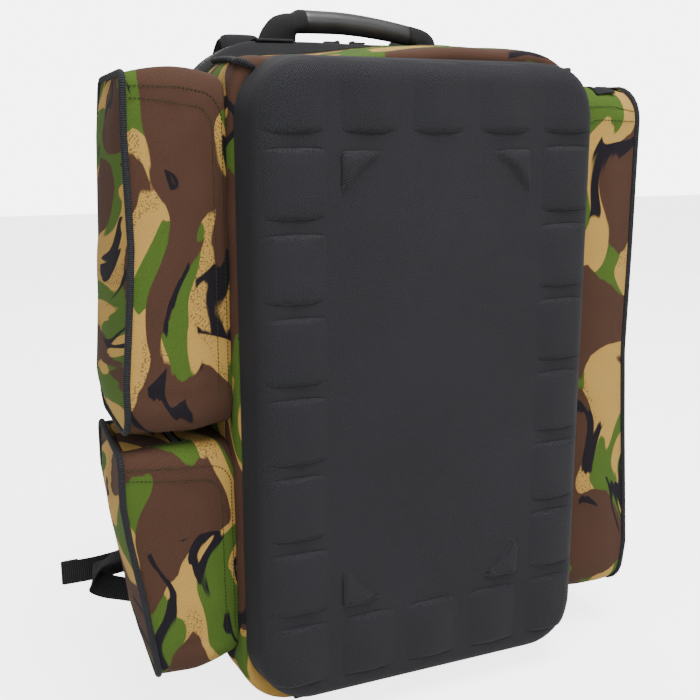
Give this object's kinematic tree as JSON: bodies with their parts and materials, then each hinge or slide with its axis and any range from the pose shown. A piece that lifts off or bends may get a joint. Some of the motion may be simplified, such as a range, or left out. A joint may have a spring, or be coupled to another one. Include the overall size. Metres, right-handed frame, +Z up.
{
  "type": "tackle backpack",
  "caption": "Camouflage fishing backpack with a moulded front panel, zipped side pockets, a carrying handle, a zipped back door and padded shoulder straps.",
  "frame": {"origin": "centre of the base sheet's underside, where the bag stands", "axes": "+Z up, the moulded front panel faces -Y and the back door and harness face +Y, +X to the right of a person who looks at the moulded panel"},
  "size_m": [0.585, 0.2783, 0.6183],
  "materials": {
    "camouflage_cloth": "coarse twill woven polyester printed in tan, green, brown and black",
    "black_cloth": "black woven polyester",
    "base_cloth": "black coated cloth",
    "board": "plain plastic sheet",
    "moulded_foam": "pressed foam faced with charcoal woven cloth",
    "zip_tape": "black woven tape with a coil",
    "piping": "black ribbed cord cover",
    "webbing": "black ribbed webbing",
    "grip_rubber": "satin black moulded tube",
    "pad_cloth": "black mesh over foam",
    "buckle_plastic": "black moulded acetal",
    "zip_metal": "black painted die casting"
  },
  "bodies": {
    "bag": {"body_shell": "camouflage_cloth", "zip_gusset": "black_cloth", "kick_panel": "black_cloth", "base_sheet": "base_cloth", "base_board": "board", "moulded_front_panel": "moulded_foam", "main_zip_front_tape": "zip_tape", "corner_piping": "piping", "handle_feet": "black_cloth", "anchor_tabs": "black_cloth", "left_lower_webbing": "webbing", "right_lower_webbing": "webbing", "left_upper_pocket": "camouflage_cloth", "left_upper_pocket_piping": "piping", "left_upper_inner_tape": "zip_tape", "left_lower_pocket": "camouflage_cloth", "left_lower_pocket_piping": "piping", "left_lower_inner_tape": "zip_tape", "right_pocket": "camouflage_cloth", "right_pocket_piping": "piping", "right_inner_tape": "zip_tape"},
    "handle": {"handle_core": "webbing", "handle_grip": "grip_rubber", "left_handle_cuff": "webbing", "right_handle_cuff": "webbing"},
    "back_door": {"back_door": "black_cloth", "back_board": "board", "main_zip_back_tape": "zip_tape", "lumbar_pad": "pad_cloth", "left_back_pad": "pad_cloth", "left_strap_root": "pad_cloth", "right_back_pad": "pad_cloth", "right_strap_root": "pad_cloth"},
    "left_strap": {"left_shoulder_pad": "pad_cloth", "left_pad_webbing": "webbing", "left_webbing_tail": "webbing"},
    "left_ladder_lock": {"left_ladder_lock": "buckle_plastic"},
    "left_d_ring": {"left_d_ring": "buckle_plastic"},
    "left_main_slider": {"left_main_slider": "zip_metal"},
    "left_main_pull": {"left_main_pull": "zip_metal"},
    "right_strap": {"right_shoulder_pad": "pad_cloth", "right_pad_webbing": "webbing", "right_webbing_tail": "webbing"},
    "right_ladder_lock": {"right_ladder_lock": "buckle_plastic"},
    "right_d_ring": {"right_d_ring": "buckle_plastic"},
    "right_main_slider": {"right_main_slider": "zip_metal"},
    "right_main_pull": {"right_main_pull": "zip_metal"},
    "left_upper_lid": {"left_upper_pocket_lid": "camouflage_cloth", "left_upper_outer_tape": "zip_tape"},
    "left_upper_slider": {"left_upper_slider": "zip_metal"},
    "left_upper_pull": {"left_upper_pull": "zip_metal"},
    "left_lower_lid": {"left_lower_pocket_lid": "camouflage_cloth", "left_lower_outer_tape": "zip_tape"},
    "left_lower_slider": {"left_lower_slider": "zip_metal"},
    "left_lower_pull": {"left_lower_pull": "zip_metal"},
    "right_lid": {"right_pocket_lid": "camouflage_cloth", "right_outer_tape": "zip_tape"},
    "right_slider": {"right_slider": "zip_metal"},
    "right_pull": {"right_pull": "zip_metal"}
  },
  "joints": [
    {"name": "back_door_hinge", "type": "hinge", "parent": "bag", "child": "back_door", "pos_m": [0, 0.072, 0.084], "axis": [-1, 0, 0], "range_deg": [0, 80], "deforming": ["left_lower_webbing", "right_lower_webbing"]},
    {"name": "handle_swing", "type": "hinge", "parent": "bag", "child": "handle", "pos_m": [0, 0.053, 0.6], "axis": [1, 0, 0], "range_deg": [-40, 40]},
    {"name": "left_strap_swing", "type": "hinge", "parent": "back_door", "child": "left_strap", "pos_m": [-0.203, 0.108, 0.128], "axis": [0.229, 0.0518, 0.9721], "range_deg": [-20, 20]},
    {"name": "left_ladder_lock_tilt", "type": "hinge", "parent": "left_strap", "child": "left_ladder_lock", "pos_m": [-0.2055, 0.107, 0.117], "axis": [1, 0, 0], "range_deg": [0, 30]},
    {"name": "left_d_ring_swing", "type": "hinge", "parent": "left_strap", "child": "left_d_ring", "pos_m": [-0.1285, 0.1552, 0.428], "axis": [1, 0, 0], "range_deg": [0, 120]},
    {"name": "left_main_slider_run", "type": "slide", "parent": "bag", "child": "left_main_slider", "axis": [-1, 0, 0], "range_m": [0, 0.065]},
    {"name": "left_main_pull_swing", "type": "hinge", "parent": "left_main_slider", "child": "left_main_pull", "pos_m": [-0.008, 0.072, 0.5942], "axis": [0, 1, 0], "range_deg": [0, 170]},
    {"name": "right_strap_swing", "type": "hinge", "parent": "back_door", "child": "right_strap", "pos_m": [0.203, 0.108, 0.128], "axis": [-0.229, 0.0518, 0.9721], "range_deg": [-20, 20]},
    {"name": "right_ladder_lock_tilt", "type": "hinge", "parent": "right_strap", "child": "right_ladder_lock", "pos_m": [0.2055, 0.107, 0.117], "axis": [1, 0, 0], "range_deg": [0, 30]},
    {"name": "right_d_ring_swing", "type": "hinge", "parent": "right_strap", "child": "right_d_ring", "pos_m": [0.1285, 0.1552, 0.428], "axis": [1, 0, 0], "range_deg": [0, 120]},
    {"name": "right_main_slider_run", "type": "slide", "parent": "bag", "child": "right_main_slider", "axis": [1, 0, 0], "range_m": [0, 0.065]},
    {"name": "right_main_pull_swing", "type": "hinge", "parent": "right_main_slider", "child": "right_main_pull", "pos_m": [0.008, 0.072, 0.5942], "axis": [0, -1, 0], "range_deg": [0, 170]},
    {"name": "left_upper_lid_hinge", "type": "hinge", "parent": "bag", "child": "left_upper_lid", "pos_m": [-0.247, 0, 0.552], "axis": [0, -1, 0], "range_deg": [0, 100]},
    {"name": "left_upper_slider_run", "type": "slide", "parent": "bag", "child": "left_upper_slider", "axis": [0, -1, 0], "range_m": [0, 0.094]},
    {"name": "left_upper_pull_swing", "type": "hinge", "parent": "left_upper_slider", "child": "left_upper_pull", "pos_m": [-0.208, 0.045, 0.5562], "axis": [1, 0, 0], "range_deg": [0, 170]},
    {"name": "left_lower_lid_hinge", "type": "hinge", "parent": "bag", "child": "left_lower_lid", "pos_m": [-0.247, 0, 0.248], "axis": [0, -1, 0], "range_deg": [0, 24]},
    {"name": "left_lower_slider_run", "type": "slide", "parent": "bag", "child": "left_lower_slider", "axis": [0, -1, 0], "range_m": [0, 0.094]},
    {"name": "left_lower_pull_swing", "type": "hinge", "parent": "left_lower_slider", "child": "left_lower_pull", "pos_m": [-0.208, 0.045, 0.2522], "axis": [1, 0, 0], "range_deg": [0, 170]},
    {"name": "right_lid_hinge", "type": "hinge", "parent": "bag", "child": "right_lid", "pos_m": [0.247, 0, 0.548], "axis": [0, 1, 0], "range_deg": [0, 100]},
    {"name": "right_slider_run", "type": "slide", "parent": "bag", "child": "right_slider", "axis": [0, -1, 0], "range_m": [0, 0.094]},
    {"name": "right_pull_swing", "type": "hinge", "parent": "right_slider", "child": "right_pull", "pos_m": [0.208, 0.045, 0.5522], "axis": [1, 0, 0], "range_deg": [0, 170]}
  ]
}
